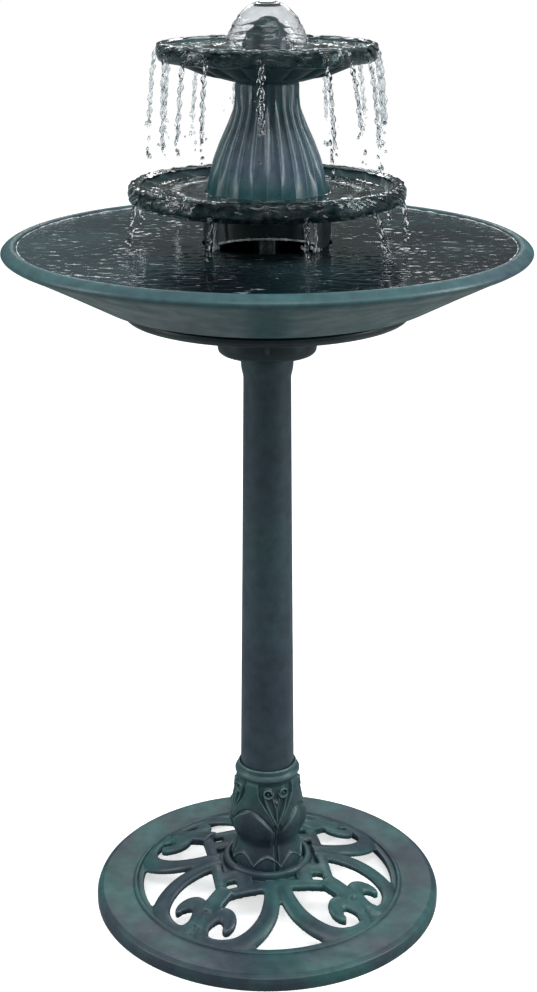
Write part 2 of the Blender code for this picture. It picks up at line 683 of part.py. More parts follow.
# ---------------------------------------------------------------- the fountain
def build():
    base_casting()
    acanthus_collar()
    column_tube()
    column_ends()
    basin_flange()
    flange_gasket()
    basin_tray()
    basin_bowl()
    cable_grommet()
    pump_housing()
    suction_cups()
    impeller()
    pump_inside()
    pump_cover()
    flow_dial()
    pump_gland()
    tower_foot()
    lower_dish()
    fluted_column()
    riser_tube()
    upper_dish()
    nozzle()
    dome_cap()
    for item in PARTS.objects:
        smooth(item)


build()
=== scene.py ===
"""Looks of a three-tier pedestal fountain with running water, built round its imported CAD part.

Units are metres and angles are radians. The frame has +Z up and -Y towards the viewer, and an
azimuth is measured from the front, growing towards +X.
"""

import math
import random

import bmesh
import bpy
import numpy as np
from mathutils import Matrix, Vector


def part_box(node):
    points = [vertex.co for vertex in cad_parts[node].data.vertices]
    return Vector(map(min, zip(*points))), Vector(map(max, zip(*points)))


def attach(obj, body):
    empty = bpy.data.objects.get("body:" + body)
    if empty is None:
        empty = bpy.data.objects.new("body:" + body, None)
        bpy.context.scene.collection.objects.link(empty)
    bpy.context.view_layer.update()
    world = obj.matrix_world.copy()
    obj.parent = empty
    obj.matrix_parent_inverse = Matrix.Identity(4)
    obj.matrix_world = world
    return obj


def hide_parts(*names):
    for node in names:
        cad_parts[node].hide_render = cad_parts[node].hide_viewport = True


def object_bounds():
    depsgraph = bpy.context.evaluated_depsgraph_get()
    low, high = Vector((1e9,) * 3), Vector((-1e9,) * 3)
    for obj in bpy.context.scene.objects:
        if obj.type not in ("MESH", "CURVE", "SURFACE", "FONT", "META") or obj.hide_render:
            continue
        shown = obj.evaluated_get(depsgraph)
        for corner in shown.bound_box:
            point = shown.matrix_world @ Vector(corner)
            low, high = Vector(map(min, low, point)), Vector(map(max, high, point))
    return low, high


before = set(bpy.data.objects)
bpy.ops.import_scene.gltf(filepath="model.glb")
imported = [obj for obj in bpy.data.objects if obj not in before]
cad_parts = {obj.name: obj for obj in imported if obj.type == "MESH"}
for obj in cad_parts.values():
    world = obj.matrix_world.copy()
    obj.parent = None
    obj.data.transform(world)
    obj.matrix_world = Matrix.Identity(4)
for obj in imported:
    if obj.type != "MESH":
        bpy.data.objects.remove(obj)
cad_low, cad_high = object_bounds()
scene = bpy.context.scene


def edge(node):
    """Largest radius of a turned CAD node."""
    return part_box(node)[1].x


def bottom(node):
    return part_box(node)[0].z


def top(node):
    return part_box(node)[1].z


# ---------------------------------------------------------------- colours (linear)
DEEP = (0.020, 0.034, 0.044, 1.0)
RUB_AND_HIGHLIGHT = (0.150, 0.240, 0.250, 1.0)       # pale rubbed edges, partly a painted highlight on raised edges and ridges

# ---------------------------------------------------------------- places taken from the frame
RING_RADIUS = edge("base_casting")
COLLAR_LOW, COLLAR_HIGH = bottom("acanthus_collar"), top("acanthus_collar")
COLUMN_LOW, COLUMN_HIGH = bottom("column_tube"), top("column_tube")
FLANGE_LOW, FLANGE_HIGH = bottom("basin_flange"), top("basin_flange")
TRAY_LOW, TRAY_HIGH = bottom("basin_tray"), top("basin_tray")
BASIN_LOW, BASIN_HIGH = bottom("basin_bowl"), top("basin_bowl")
BASIN_RADIUS = edge("basin_bowl")
LOWER_LOW, LOWER_HIGH = bottom("lower_dish"), top("lower_dish")
FLUTE_LOW, FLUTE_HIGH = bottom("fluted_column"), top("fluted_column")
UPPER_LOW, UPPER_HIGH = bottom("upper_dish"), top("upper_dish")
CAP_LOW, CAP_HIGH = bottom("dome_cap"), top("dome_cap")
FOOT_RADIUS = edge("tower_foot")
BASIN_LEVEL = BASIN_HIGH - 0.0042
LOWER_LEVEL = LOWER_HIGH - 0.0085
UPPER_LEVEL = UPPER_HIGH - 0.0040

DOME_TOP = 0.0555                      # the pierced base: top = DOME_TOP - DOME_FALL * r * r
DOME_FALL = 1.43
HEARTS = 4
FIRST_HEART = math.radians(-35.0)
CLEAR = 0.0003                         # the gap that neighbouring pieces keep
COLLAR_LIP = COLLAR_HIGH + 0.0070      # the collar's rim runs up the column past the CAD collar
FOOT_ARCHES = 3                        # arches of the tower's foot, the first towards the front
ARCH_HALF, ARCH_SPRING, ARCH_RISE = 0.0500, 0.8090, 0.0160


# ---------------------------------------------------------------- mesh helpers
def build_mesh(name, points, faces):
    """Smooth-shaded object from points and faces, with its normals facing out."""
    mesh = bpy.data.meshes.new(name)
    mesh.from_pydata([tuple(p) for p in points], [], faces)
    work = bmesh.new()
    work.from_mesh(mesh)
    bmesh.ops.recalc_face_normals(work, faces=work.faces)
    work.to_mesh(mesh)
    work.free()
    mesh.shade_smooth()
    item = bpy.data.objects.new(name, mesh)
    scene.collection.objects.link(item)
    return item


def ring_faces(rows, columns, closed, first=0):
    """Quads between rows of points that each close into a ring; open stacks get end caps."""
    index = first + np.arange(rows * columns).reshape(rows, columns)
    lower = index if closed else index[:-1]
    upper = np.roll(index, -1, 0) if closed else index[1:]
    quads = np.stack([lower, np.roll(lower, -1, 1), np.roll(upper, -1, 1), upper], -1)
    faces = quads.reshape(-1, 4).tolist()
    if not closed:
        faces.append(index[0, ::-1].tolist())
        faces.append(index[-1].tolist())
    return faces


def rounded(outline, corner, step):
    """Closed outline with its corners rounded by up to corner and its sides cut to step."""
    corners = [np.array(p, float) for p in outline]
    path = []
    for i, here in enumerate(corners):
        before = corners[i - 1] - here
        after = corners[(i + 1) % len(corners)] - here
        start = here + before * min(0.45, corner / np.linalg.norm(before))
        end = here + after * min(0.45, corner / np.linalg.norm(after))
        for t in np.linspace(0.0, 1.0, 5):
            path.append((1 - t) ** 2 * start + 2 * t * (1 - t) * here + t * t * end)
    full = []
    for i, here in enumerate(path):
        after = path[(i + 1) % len(path)]
        count = max(1, int(np.linalg.norm(after - here) / step))
        full += [here + (after - here) * k / count for k in range(count)]
    return np.array(full)


def turned(name, outline, columns=192, corner=0.0015, step=0.004, move=None):
    """Closed outline of (radius, height) turned round Z; move shapes the arrays first."""
    path = rounded(outline, corner, step)
    around = np.arange(columns) * math.tau / columns
    radius, azimuth = np.meshgrid(path[:, 0], around, indexing="ij")
    height = np.repeat(path[:, 1:2], columns, axis=1)
    if move:
        radius, height = move(radius, azimuth, height)
    grid = np.stack([radius * np.sin(azimuth), -radius * np.cos(azimuth), height], -1)
    return build_mesh(name, grid.reshape(-1, 3), ring_faces(len(path), columns, True))


def ramp(value, low, high):
    """Smooth step from 0 at low to 1 at high; high may be the smaller one."""
    t = np.clip((value - low) / (high - low), 0.0, 1.0)
    return t * t * (3 - 2 * t)


def bump(value, centre, width):
    """Rounded ridge of height 1 and half-width width."""
    t = np.clip(np.abs(value - centre) / width, 0.0, 1.0)
    return 0.5 + 0.5 * np.cos(math.pi * t)


def spline(points, step):
    """Catmull-Rom curve through rows of numbers; the first two columns set its pace."""
    points = [np.array(p, float) for p in points]
    points = [2 * points[0] - points[1]] + points + [2 * points[-1] - points[-2]]
    path = []
    for a, b, c, d in zip(points, points[1:], points[2:], points[3:]):
        count = max(2, int(np.linalg.norm((c - b)[:2]) / step))
        for t in np.arange(count) / count:
            path.append(0.5 * (2 * b + (c - a) * t + (2 * a - 5 * b + 4 * c - d) * t ** 2
                               + (3 * b - a - 3 * c + d) * t ** 3))
    path.append(points[-2])
    return np.array(path)


def bake_modifiers(item):
    """Replaces the object's mesh by its modified one."""
    graph = bpy.context.evaluated_depsgraph_get()
    mesh = bpy.data.meshes.new_from_object(item.evaluated_get(graph))
    item.modifiers.clear()
    item.data = mesh
    mesh.shade_smooth()
    return item


# ---------------------------------------------------------------- material helpers
def new_material(name):
    made = bpy.data.materials.new(name)
    made.use_nodes = True
    return made, made.node_tree.nodes["Principled BSDF"]


def put(made, kind, inputs=None, **settings):
    """New node; inputs maps a socket's name or index to a value or to another node's socket."""
    item = made.node_tree.nodes.new(kind)
    for key, value in settings.items():
        setattr(item, key, value)
    for key, value in (inputs or {}).items():
        if isinstance(value, bpy.types.NodeSocket):
            made.node_tree.links.new(value, item.inputs[key])
        else:
            item.inputs[key].default_value = value
    return item


def grain(made, scale, detail=3.0, stretch=(1.0, 1.0, 1.0), rough=0.5):
    """Noise fixed to the object, as a number from 0 to 1."""
    place = put(made, "ShaderNodeTexCoord").outputs["Object"]
    place = put(made, "ShaderNodeMapping", {"Vector": place, "Scale": stretch}).outputs[0]
    noise = put(made, "ShaderNodeTexNoise",
                {"Vector": place, "Scale": scale, "Detail": detail, "Roughness": rough})
    return noise.outputs["Fac"]


def tones(made, factor, *stops):
    """Colour ramp with (position, colour) stops."""
    item = put(made, "ShaderNodeValToRGB", {"Fac": factor})
    points = item.color_ramp.elements
    while len(points) < len(stops):
        points.new(0.5)
    for point, (position, colour) in zip(points, stops):
        point.position = position
        point.color = colour
    return item.outputs["Color"]


def grey(value):
    return (value, value, value, 1.0)


def blend(made, factor, first, second, mode="MIX"):
    item = put(made, "ShaderNodeMix", {0: factor, 6: first, 7: second},
               data_type="RGBA", blend_type=mode)
    return item.outputs[2]


def level(made, factor, low, high, from_low=0.3, from_high=0.7):
    """A number between low and high that follows factor."""
    item = put(made, "ShaderNodeMapRange", {"Value": factor, "From Min": from_low,
                                            "From Max": from_high, "To Min": low, "To Max": high})
    return item.outputs[0]


def relief(made, shader, *layers):
    """Bump from (height socket, distance, strength) layers, one upon another."""
    normal = None
    for height, distance, strength in layers:
        inputs = {"Height": height, "Distance": distance, "Strength": strength}
        if normal:
            inputs["Normal"] = normal
        normal = put(made, "ShaderNodeBump", inputs).outputs[0]
    made.node_tree.links.new(normal, shader.inputs["Normal"])


def join_up(made, shader, **sockets):
    for name, socket in sockets.items():
        made.node_tree.links.new(socket, shader.inputs[name.replace("_", " ")])


# ---------------------------------------------------------------- materials
def patina(name, dark, mid, light, patch=7.0, rub_and_highlight=0.55, heights=None, gloss=0.30):
    """Moulded resin brushed with slate and teal, and pale where edges are rubbed; the pale edges are partly
    a painted highlight.

    heights = (low, high, colour) tints what is below high; gloss is the lowest roughness.
    """
    made, shader = new_material(name)
    cloud = grain(made, patch, 2.0)
    colour = tones(made, cloud, (0.40, dark), (0.50, mid), (0.60, light))
    if heights:
        low, high, tint = heights
        place = put(made, "ShaderNodeTexCoord").outputs["Object"]
        up = put(made, "ShaderNodeSeparateXYZ", {0: place}).outputs["Z"]
        colour = blend(made, level(made, up, 0.85, 0.0, low, high), colour, tint)
    mottle = tones(made, grain(made, 70.0, 5.0, rough=0.6), (0.30, grey(0.72)), (0.70, grey(1.22)))
    colour = blend(made, 1.0, colour, mottle, "MULTIPLY")
    point = put(made, "ShaderNodeNewGeometry").outputs["Pointiness"]
    colour = blend(made, level(made, point, 0.75, 0.0, 0.44, 0.495), colour, DEEP)
    # pale edges: rubbed wear together with a painted highlight along raised edges and ridges
    wear_and_highlight = level(made, point, 0.0, rub_and_highlight, 0.510, 0.56)
    speckle = level(made, grain(made, 240.0, 4.0), 0.4, 1.0)
    wear_and_highlight = put(made, "ShaderNodeMath", {0: wear_and_highlight, 1: speckle}, operation="MULTIPLY").outputs[0]
    colour = blend(made, wear_and_highlight, colour, RUB_AND_HIGHLIGHT)
    join_up(made, shader, Base_Color=colour,
            Roughness=level(made, grain(made, 38.0, 4.0), gloss, gloss + 0.20))
    shader.inputs["Specular IOR Level"].default_value = 0.45
    relief(made, shader, (grain(made, 55.0, 3.0), 0.0009, 0.25),
           (grain(made, 620.0, 3.0), 0.00025, 0.35))
    return made


def plastic(name, colour, rough, scale=500.0):
    """Moulded plastic or rubber with a fine spark-eroded grain."""
    made, shader = new_material(name)
    pale = tuple(min(1.0, c * 1.5) for c in colour[:3]) + (1.0,)
    join_up(made, shader, Base_Color=tones(made, grain(made, 30.0, 4.0), (0.35, colour), (0.70, pale)),
            Roughness=level(made, grain(made, 90.0), rough - 0.08, rough + 0.10))
    relief(made, shader, (grain(made, scale, 2.0), 0.0002, 0.4))
    return made


def steel(name):
    made, shader = new_material(name)
    shader.inputs["Metallic"].default_value = 1.0
    streak = grain(made, 900.0, 2.0, (1.0, 1.0, 0.1))
    join_up(made, shader, Base_Color=tones(made, streak, (0.3, grey(0.45)), (0.7, grey(0.68))),
            Roughness=level(made, streak, 0.22, 0.38))
    relief(made, shader, (streak, 0.0001, 0.3))
    return made


def vinyl(name):
    made, shader = new_material(name)
    shader.inputs["Transmission Weight"].default_value = 0.75
    shader.inputs["IOR"].default_value = 1.45
    haze = grain(made, 120.0, 3.0)
    join_up(made, shader, Base_Color=tones(made, haze, (0.3, (0.62, 0.72, 0.72, 1.0)),
                                           (0.7, (0.82, 0.88, 0.86, 1.0))),
            Roughness=level(made, haze, 0.12, 0.28))
    relief(made, shader, (haze, 0.0003, 0.3))
    return made


def pool_water(name):
    """Water over the dark basin: near-black with teal drift and fine ripples, a painted reflection that
    lightens its left side, and painted glints in pale streaks.
    """
    made, shader = new_material(name)
    drift = grain(made, 6.0, 3.0)
    colour = tones(made, drift, (0.38, (0.0035, 0.0055, 0.0085, 1.0)), (0.52, (0.006, 0.014, 0.018, 1.0)),
                   (0.66, (0.016, 0.034, 0.040, 1.0)))
    place = put(made, "ShaderNodeTexCoord").outputs["Object"]
    along = put(made, "ShaderNodeSeparateXYZ", {0: place}).outputs["X"]
    # painted reflection: lighter teal on the water's left side, where a light is reflected
    painted_reflection = put(made, "ShaderNodeMath", {0: level(made, along, 1.0, 0.0, -0.24, -0.06),
                                         1: level(made, drift, 0.5, 1.0)}, operation="MULTIPLY").outputs[0]
    colour = blend(made, painted_reflection, colour, (0.050, 0.088, 0.100, 1.0))
    # painted glints: pale horizontal streaks across the ripples
    glint_pattern = grain(made, 110.0, 4.0, (0.30, 1.5, 1.0), 0.65)
    painted_glints = level(made, glint_pattern, 0.0, 0.85, 0.635, 0.68)
    colour = blend(made, painted_glints, colour, (0.62, 0.70, 0.72, 1.0))
    join_up(made, shader, Base_Color=colour, Roughness=level(made, drift, 0.03, 0.10))
    shader.inputs["IOR"].default_value = 1.333
    shader.inputs["Specular IOR Level"].default_value = 0.42
    relief(made, shader, (grain(made, 75.0, 3.0, (0.35, 1.9, 1.0)), 0.0016, 0.30),
           (grain(made, 300.0, 2.0, (0.4, 1.6, 1.0)), 0.0004, 0.35))
    return made


def clear_water(name, tint=(0.44, 0.50, 0.53, 1.0), scale=160.0, pale=0.90):
    """Clear falling water: refracting, with small ripples."""
    made, shader = new_material(name)
    shader.inputs["Transmission Weight"].default_value = 1.0
    shader.inputs["IOR"].default_value = 1.333
    swirl = grain(made, scale, 3.0)
    join_up(made, shader, Base_Color=tones(made, swirl, (0.35, tint), (0.7, grey(pale))),
            Roughness=level(made, swirl, 0.0, 0.05))
    relief(made, shader, (swirl, 0.0012, 0.35))
    return made


def foam(name):
    """White broken foam and splash; also a painted highlight where it forms the glints on the tower foot's
    front arch.
    """
    made, shader = new_material(name)
    froth = grain(made, 420.0, 4.0)
    join_up(made, shader, Base_Color=tones(made, froth, (0.35, (0.50, 0.58, 0.60, 1.0)), (0.6, grey(0.92))),
            Roughness=level(made, froth, 0.15, 0.40))
    relief(made, shader, (froth, 0.0006, 0.6))
    return made


CASTING = patina("casting_patina", (0.030, 0.046, 0.064, 1.0), (0.030, 0.066, 0.076, 1.0),
                 (0.030, 0.092, 0.094, 1.0), patch=13.0, rub_and_highlight=0.70)
SHAFT = patina("column_patina", (0.030, 0.046, 0.066, 1.0), (0.032, 0.056, 0.074, 1.0),
               (0.032, 0.068, 0.080, 1.0), patch=5.0, rub_and_highlight=0.30)
# painted shade: a darker copy of the patina for the flange, tray and tower foot, which stand in shade under
# the basin and the lower dish
SHADED_UNDERSIDE = patina("shaded_underside_patina", (0.010, 0.018, 0.024, 1.0), (0.012, 0.024, 0.030, 1.0),
                   (0.015, 0.032, 0.036, 1.0), rub_and_highlight=0.25)
BASIN = patina("basin_patina", (0.044, 0.080, 0.100, 1.0), (0.038, 0.088, 0.100, 1.0),
               (0.036, 0.104, 0.112, 1.0), patch=4.5, rub_and_highlight=0.35)
# the tower's strong pale edges paint highlights along the flute ridges
TOWER = patina("tower_patina", (0.070, 0.104, 0.150, 1.0), (0.060, 0.112, 0.138, 1.0),
               (0.042, 0.118, 0.126, 1.0), patch=11.0, rub_and_highlight=0.95,
               heights=(0.868, 0.896, (0.012, 0.070, 0.076, 1.0)), gloss=0.20)
DISHES = patina("dish_patina", (0.034, 0.060, 0.076, 1.0), (0.030, 0.072, 0.080, 1.0),
                (0.028, 0.084, 0.086, 1.0), patch=14.0, rub_and_highlight=0.55)
PUMP = plastic("pump_black", (0.012, 0.012, 0.014, 1.0), 0.42)
RUBBER = plastic("rubber_black", (0.014, 0.014, 0.014, 1.0), 0.62, 300.0)
FERRITE = plastic("ferrite_grey", (0.05, 0.05, 0.052, 1.0), 0.50, 700.0)
STEEL = steel("screw_steel")
VINYL = vinyl("tube_vinyl")
POOL = pool_water("basin_water_look")
FALLS = clear_water("falling_water_look")
BELL = clear_water("bell_water_look", (0.80, 0.83, 0.85, 1.0), 110.0)
SHALLOW = clear_water("dish_water_look", (0.50, 0.62, 0.64, 1.0), 90.0)
# painted shade: the dark tint darkens the water hanging over the dish lips, where the dish fronts lie in
# shade
SHADED_SKIRT = clear_water("shaded_skirt_water_look", (0.14, 0.27, 0.30, 1.0), 130.0, 0.62)
# painted shade: dark ring that stands for the shaded nozzle opening under the bell's crown
SHADE_RING = plastic("shade_ring_look", (0.020, 0.030, 0.034, 1.0), 0.12, 200.0)
# white for foam, and also a painted highlight: the glint line on the foot's front arch and its falling
# strands
FOAM_AND_GLINT = foam("foam_and_glint_look")


def finish(item, look, body, slot=None, *stands_for):
    """Gives a piece its material, the body that it rides on, and the CAD nodes it stands for."""
    item.data.materials.clear()
    item.data.materials.append(look)
    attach(item, body)
    if stands_for:
        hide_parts(*stands_for)
    return item


# ---------------------------------------------------------------- base
def dome(x, y):
    """Height of the pierced base's domed top over the floor."""
    return DOME_TOP - DOME_FALL * (x * x + y * y)


def add_bar(points, faces, path, azimuth, mirror=1.0, raise_by=0.0, thick=0.0095, crown=0.50):
    """Cast bar along path, rows of (out, across, half-width), with a half-round top."""
    path = spline(path, 0.0028)
    along = np.gradient(path[:, :2], axis=0)
    along /= np.linalg.norm(along, axis=1, keepdims=True)
    out = np.array([math.sin(azimuth), -math.cos(azimuth)])
    across = np.array([math.cos(azimuth), math.sin(azimuth)]) * mirror
    turn = np.linspace(0.0, math.pi, 9)
    side = np.concatenate([np.cos(turn), [-0.94, 0.94]])
    first = len(points)
    for (u, v, width), (du, dv) in zip(path, along):
        fall = crown * width
        up = np.concatenate([fall * (np.sin(turn) - 1.0), [-thick, -thick]])
        for s, h in zip(side * width, up):
            x, y = out * (u - dv * s) + across * (v + du * s)
            points.append((x, y, dome(x, y) + h + raise_by))
    faces += ring_faces(len(path), len(side), False, first)


LOBE = [(0.046, 0.0354, 0.0078), (0.058, 0.0460, 0.0085), (0.072, 0.0565, 0.0102),
        (0.090, 0.0645, 0.0110), (0.108, 0.0670, 0.0115), (0.124, 0.0650, 0.0118),
        (0.138, 0.0590, 0.0118), (0.148, 0.0490, 0.0112), (0.1545, 0.0360, 0.0105),
        (0.1565, 0.0230, 0.0095), (0.1535, 0.0135, 0.0085), (0.1450, 0.0085, 0.0082)]
CURL = [(0.1450, 0.0060, 0.0085), (0.1340, 0.0070, 0.0092), (0.1230, 0.0110, 0.0095),
        (0.1165, 0.0190, 0.0102), (0.1185, 0.0275, 0.0098), (0.1255, 0.0335, 0.0080),
        (0.1325, 0.0350, 0.0055), (0.1370, 0.0330, 0.0030)]
OUTER_BAND = [(0.0440, 0.0470, 0.0068), (0.0600, 0.0325, 0.0066), (0.0760, 0.0165, 0.0066),
              (0.0905, 0.0020, 0.0068), (0.0930, -0.0020, 0.0068)]
CROSS_BAND = [(0.0360, -0.0156, 0.0096), (0.0516, 0.0, 0.0096), (0.0620, 0.0104, 0.0096),
              (0.0740, 0.0224, 0.0096)]
CLASP = [(0.0860, 0.0, 0.0100), (0.0920, 0.0, 0.0112), (0.1120, 0.0, 0.0112), (0.1240, 0.0, 0.0090)]
TAIL = [(0.1180, 0.0, 0.0085), (0.1520, 0.0, 0.0085)]


def base_scrollwork():
    """Four pierced hearts with their woven lattices, cast in one with the inner ring."""
    points, faces = [], []
    for i in range(HEARTS):
        azimuth = FIRST_HEART + math.tau * i / HEARTS
        for mirror in (1.0, -1.0):
            add_bar(points, faces, LOBE, azimuth, mirror)
            add_bar(points, faces, CURL, azimuth, mirror, 0.0012)
            add_bar(points, faces, OUTER_BAND, azimuth, mirror, -0.0004, crown=0.40)
            add_bar(points, faces, CROSS_BAND, azimuth, mirror, -0.0012, crown=0.24)
        add_bar(points, faces, CLASP, azimuth, 1.0, 0.0030, 0.0125, 0.22)
        add_bar(points, faces, TAIL, azimuth, 1.0, -0.0028, 0.0070, 0.30)
    turns = np.linspace(0.0, math.tau, 181)
    rim = [(0.1575 * math.cos(t), 0.1575 * math.sin(t), 0.0050) for t in turns]
    add_bar(points, faces, rim, 0.0, 1.0, -0.0030, 0.0100)
    item = build_mesh("base_scrollwork", points, faces)
    remesh = item.modifiers.new("fuse", "REMESH")
    remesh.mode = "VOXEL"
    remesh.voxel_size = 0.0015
    soften = item.modifiers.new("soften", "SMOOTH")
    soften.factor = 0.5
    soften.iterations = 5
    return finish(bake_modifiers(item), CASTING, "pedestal", "patina_resin", "base_casting")


def base_ring():
    outer = RING_RADIUS
    outline = [(outer - 0.0075, 0.0180), (outer - 0.0020, 0.0150), (outer, 0.0100), (outer, 0.0),
               (outer - 0.0035, 0.0), (outer - 0.0055, 0.0135), (0.1600, 0.0135), (0.1590, 0.0060),
               (0.1545, 0.0060), (0.1545, 0.0172), (0.1575, 0.0178), (0.1590, 0.0172),
               (0.1605, 0.0200), (0.1625, 0.0204), (0.1645, 0.0196), (0.1655, 0.0170),
               (0.1680, 0.0172)]
    item = turned("base_ring", outline, 320, 0.0009, 0.003)
    return finish(item, CASTING, "pedestal", "patina_resin", "base_casting")


def base_hub():
    low = DOME_TOP - 0.0155
    outline = [(0.0450, 0.0510), (0.0466, 0.0534), (0.0492, 0.0543), (0.0518, 0.0534),
               (0.0534, 0.0508), (0.0536, 0.0440), (0.0650, 0.0420), (0.0650, low), (0.0080, low),
               (0.0080, COLLAR_LOW - CLEAR), (0.0430, COLLAR_LOW - CLEAR), (0.0444, 0.0480)]
    item = turned("base_hub", outline, 192, 0.0016, 0.0015)
    return finish(item, CASTING, "pedestal", "patina_resin", "base_casting")


# ---------------------------------------------------------------- collar
COLLAR_SIDE = [(0.0395, 0.0463), (0.0398, 0.0560), (0.0385, 0.0660), (0.0358, 0.0760),
               (0.0352, 0.0820), (0.0372, 0.0900), (0.0402, 0.0990), (0.0418, 0.1090),
               (0.0418, 0.1200), (0.0404, 0.1310), (0.0386, 0.1410), (0.0374, 0.1520),
               (0.0366, 0.1650)]
LEAVES = 4
LEAF_AZIMUTH = math.radians(-29.0)
LEAF_SIDE = [(0.0905, 0.0300), (0.1050, 0.0300), (0.1165, 0.0290), (0.1270, 0.0245),
             (0.1370, 0.0185), (0.1440, 0.0140), (0.1510, 0.0105), (0.1650, 0.0092)]
PETALS = 8


def leaf_relief(azimuth, height):
    """How far the collar's leaves, scrolls and petals stand out from its plain side."""
    quarter = math.tau / LEAVES
    turn = (azimuth - LEAF_AZIMUTH + quarter / 2) % quarter - quarter / 2
    across = turn * 0.0400
    from_seam = (quarter / 2 - np.abs(turn)) * 0.0400
    side = np.interp(height, *zip(*LEAF_SIDE))
    inside = side - np.abs(across)
    leaf = ramp(inside, -0.0004, 0.0026)
    out = 0.0022 * leaf + 0.0009 * bump(inside, 0.0014, 0.0020)
    shoulder = 0.1300 - 0.0270 * (np.abs(across) / 0.0290) ** 2.0
    bulb = ramp(shoulder - height, -0.0006, 0.0030) * ramp(height, 0.0800, 0.0980)
    lobes = bump(np.abs(across), 0.0165, 0.0190)
    out += leaf * bulb * (0.0006 + 0.0030 * lobes)
    out -= 0.0016 * leaf * bump(height, shoulder + 0.0016, 0.0020)
    scroll_across = from_seam - 0.0100
    scroll_up = height - 0.1540
    reach = np.hypot(scroll_across, scroll_up)
    turnings = np.arctan2(scroll_up, scroll_across)
    coil = 0.0062 - 0.0020 * (turnings + math.pi) / math.tau
    scroll = np.maximum(bump(reach, coil, 0.0026), bump(reach, 0.0, 0.0026))
    stem_at = 0.0150 * ramp(height, 0.1100, 0.1580) ** 0.7
    stem = bump(from_seam, stem_at, 0.0034) * ramp(height, 0.1540, 0.1490)
    inner_at = 0.0046 * ramp(height, 0.1290, 0.1520)
    inner = bump(from_seam, inner_at, 0.0024) * ramp(height, 0.1560, 0.1520)
    fruit = bump(np.hypot(from_seam, height - 0.1420), 0.0, 0.0046)
    upper = ramp(height, 0.1085, 0.1135) * (1.0 - leaf)
    raised = np.maximum(np.maximum(0.0046 * scroll, 0.0040 * stem),
                        np.maximum(0.0030 * inner, 0.0040 * fruit))
    out += upper * (raised - 0.0016)
    seam = ramp(height, 0.1150, 0.1110) * ramp(height, 0.0780, 0.0860)
    out += seam * (0.0012 * bump(from_seam, 0.0, 0.0014) - 0.0020 * bump(from_seam, 0.0036, 0.0030))
    petal = math.tau / PETALS
    fan = ((azimuth + petal / 2) % petal - petal / 2) / (petal / 2)
    arch = 0.0690 - 0.0130 * np.abs(fan) ** 1.8
    below = ramp(height, 0.0745, 0.0705)
    out += below * (0.0022 * bump(height, arch, 0.0026) + 0.0009 * ramp(arch - height, 0.0010, 0.0030))
    return out


def acanthus_collar():
    bore = edge("column_tube") + 0.0007
    side = spline([(h, r) for r, h in COLLAR_SIDE], 0.0008)
    rim = [(0.0366, 0.1664), (0.0367, 0.1676), (0.0380, 0.1686), (0.0387, 0.1700),
           (0.0387, 0.1722), (0.0378, 0.1740), (0.0364, 0.1752), (0.0356, 0.1762),
           (0.0353, 0.1780), (0.0350, 0.1800), (0.0343, COLLAR_LIP - 0.0004), (0.0333, COLLAR_LIP)]
    path = [(r, h) for h, r in side] + rim + [(bore, COLLAR_LIP - 0.0040), (bore, COLLAR_LOW)]
    path = np.array(path)
    columns = 480
    radius, azimuth = np.meshgrid(path[:, 0], np.arange(columns) * math.tau / columns, indexing="ij")
    height = np.repeat(path[:, 1:2], columns, axis=1)
    relieved = radius > bore + 0.0010
    carved = leaf_relief(azimuth, height) * ramp(height, 0.1668, 0.1610) * ramp(height, 0.0466, 0.0500)
    radius = radius + np.where(relieved, carved, 0.0)
    grid = np.stack([radius * np.sin(azimuth), -radius * np.cos(azimuth), height], -1)
    item = build_mesh("collar", grid.reshape(-1, 3), ring_faces(len(path), columns, True))
    return finish(item, CASTING, "pedestal", "patina_resin", "acanthus_collar")


# ---------------------------------------------------------------- column, flange and tray
def column():
    low, high = COLUMN_LOW, COLUMN_HIGH
    outline = [(0.0293, high), (0.0295, 0.6770), (0.0290, 0.6690), (0.0267, 0.6590),
               (0.0288, 0.4510), (0.0317, 0.1960), (0.0322, low), (0.0292, low),
               (0.0287, 0.1960), (0.0258, 0.4510), (0.0237, 0.6590), (0.0255, 0.6760), (0.0263, high)]
    item = turned("column", outline, 128, 0.0030, 0.010)
    return finish(item, SHAFT, "pedestal", "patina_resin", "column_tube")


def flange():
    def ribs(radius, azimuth, height):
        nearest = (azimuth + math.pi / 4) % (math.pi / 2) - math.pi / 4
        rib = ramp(np.abs(nearest) * 0.0560, 0.0022, 0.0010) * ramp(height, 0.6960, 0.7000)
        nub = bump(height, 0.7085, 0.0050)
        return radius + rib * (0.0030 + 0.0012 * nub) * (radius > 0.0530), height

    outline = [(0.0553, FLANGE_HIGH), (0.0553, 0.6960), (0.0545, 0.6895), (0.0515, FLANGE_LOW),
               (0.0500, 0.6880), (0.0512, 0.7235), (0.0340, 0.7235), (0.0340, 0.6950),
               (0.0300, 0.6950), (0.0300, 0.7240), (0.0100, 0.7240), (0.0100, FLANGE_HIGH)]
    item = turned("flange", outline, 720, 0.0015, 0.0015, ribs)
    return finish(item, SHADED_UNDERSIDE, "pedestal", "patina_resin", "basin_flange")


def tray():
    edge_out = edge("basin_tray")
    outline = [(edge_out, TRAY_HIGH), (edge_out, 0.7345), (0.1550, TRAY_LOW), (0.0285, TRAY_LOW),
               (0.0285, 0.7330), (0.1512, 0.7330), (0.1568, TRAY_HIGH)]
    item = turned("tray", outline, 256, 0.0012, 0.004)
    return finish(item, SHADED_UNDERSIDE, "pedestal", "patina_resin", "basin_tray")


